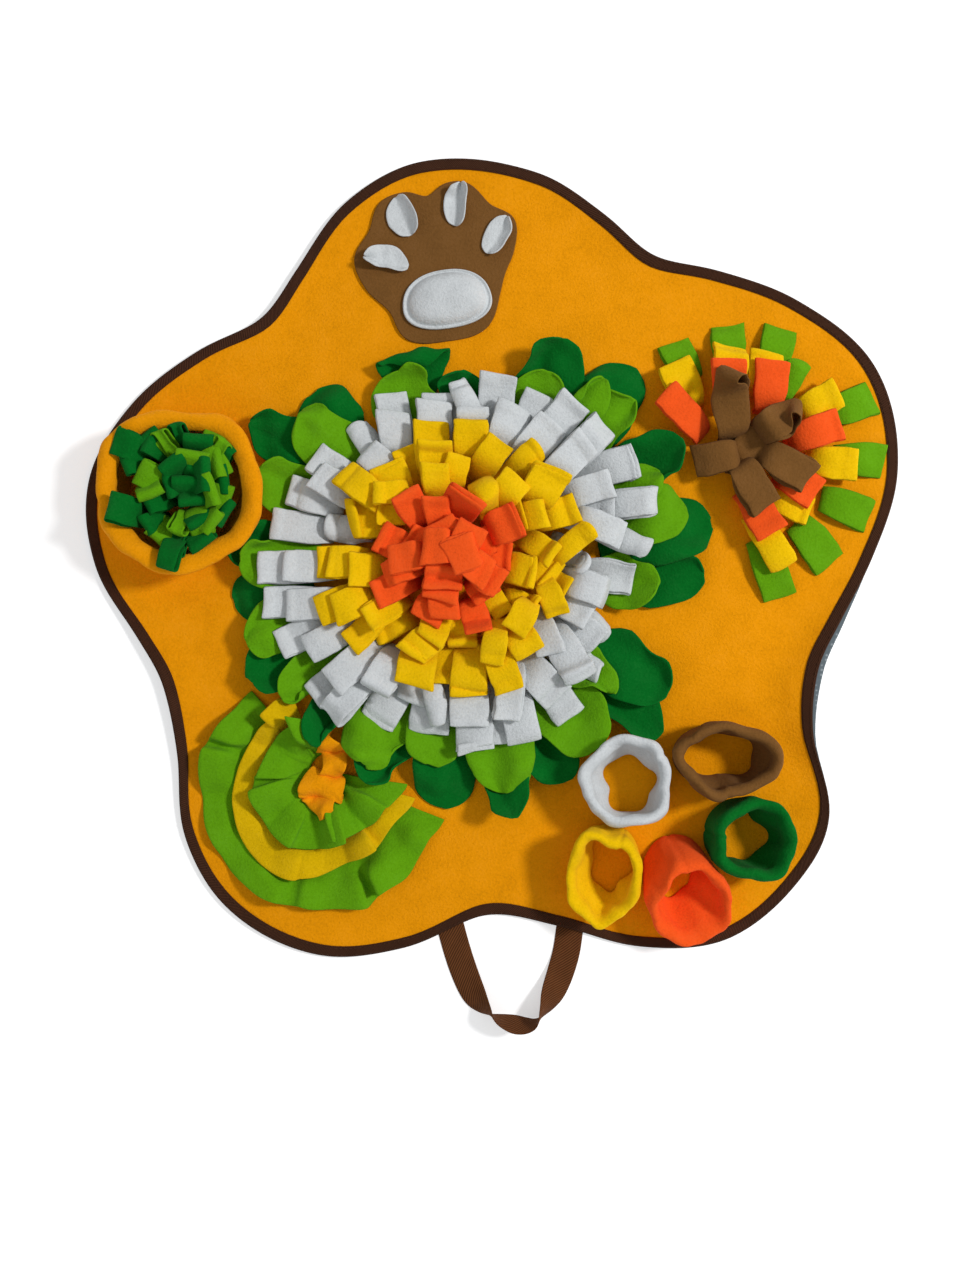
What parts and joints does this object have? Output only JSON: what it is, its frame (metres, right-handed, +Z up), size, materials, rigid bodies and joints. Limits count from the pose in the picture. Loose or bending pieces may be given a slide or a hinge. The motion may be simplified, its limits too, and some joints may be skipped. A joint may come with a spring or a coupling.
{
  "type": "snuffle mat",
  "caption": "Five-lobed fleece mat for a dog, with a rosette of fleece strips, leaves, a frill, a paw patch, soft cups, a basket and a carrying strap, for hiding treats.",
  "frame": {"origin": "on the floor under the middle of the mat, on the backing's underside", "axes": "+Z up out of the mat's face, +Y to the paw at the top, +X to the strip fan at the right"},
  "size_m": [0.7286, 0.7756, 0.0637],
  "materials": {
    "marigold_fleece": "matt brushed fleece",
    "yellow_fleece": "matt brushed fleece",
    "coral_fleece": "matt brushed fleece",
    "white_fleece": "matt brushed fleece",
    "light_green_fleece": "matt brushed fleece",
    "dark_green_fleece": "matt brushed fleece",
    "brown_fleece": "matt brushed fleece",
    "binding_tape": "matt twill",
    "handle_tape": "matt woven tape",
    "backing_cloth": "matt woven cloth with small rubbery dots"
  },
  "bodies": {
    "root": {"backing": "backing_cloth", "base_fleece": "marigold_fleece", "edge_binding": "binding_tape", "handle_strap": "handle_tape", "white_strips_outer": "white_fleece", "white_strips_inner": "white_fleece", "yellow_strips_outer": "yellow_fleece", "yellow_strips_inner": "yellow_fleece", "coral_strips_outer": "coral_fleece", "coral_strips_middle": "coral_fleece", "coral_strips_inner": "coral_fleece", "leaves_light": "light_green_fleece", "leaves_dark": "dark_green_fleece", "fan_green_strips": "light_green_fleece", "fan_yellow_strips": "yellow_fleece", "fan_coral_strips": "coral_fleece", "fan_brown_strips": "brown_fleece", "paw_patch": "brown_fleece", "paw_pad": "white_fleece", "toe_left": "white_fleece", "toe_upper_left": "white_fleece", "toe_upper_right": "white_fleece", "toe_right": "white_fleece", "basket_wall": "marigold_fleece", "basket_strips_outer": "dark_green_fleece", "basket_strips_middle": "light_green_fleece", "basket_strips_inner": "dark_green_fleece", "frill_green_outer": "light_green_fleece", "frill_yellow": "yellow_fleece", "frill_green_inner": "light_green_fleece", "frill_knot": "marigold_fleece", "cup_white": "white_fleece", "cup_brown": "brown_fleece", "cup_dark_green": "dark_green_fleece", "cup_yellow": "yellow_fleece", "cup_coral": "coral_fleece"}
  },
  "joints": []
}
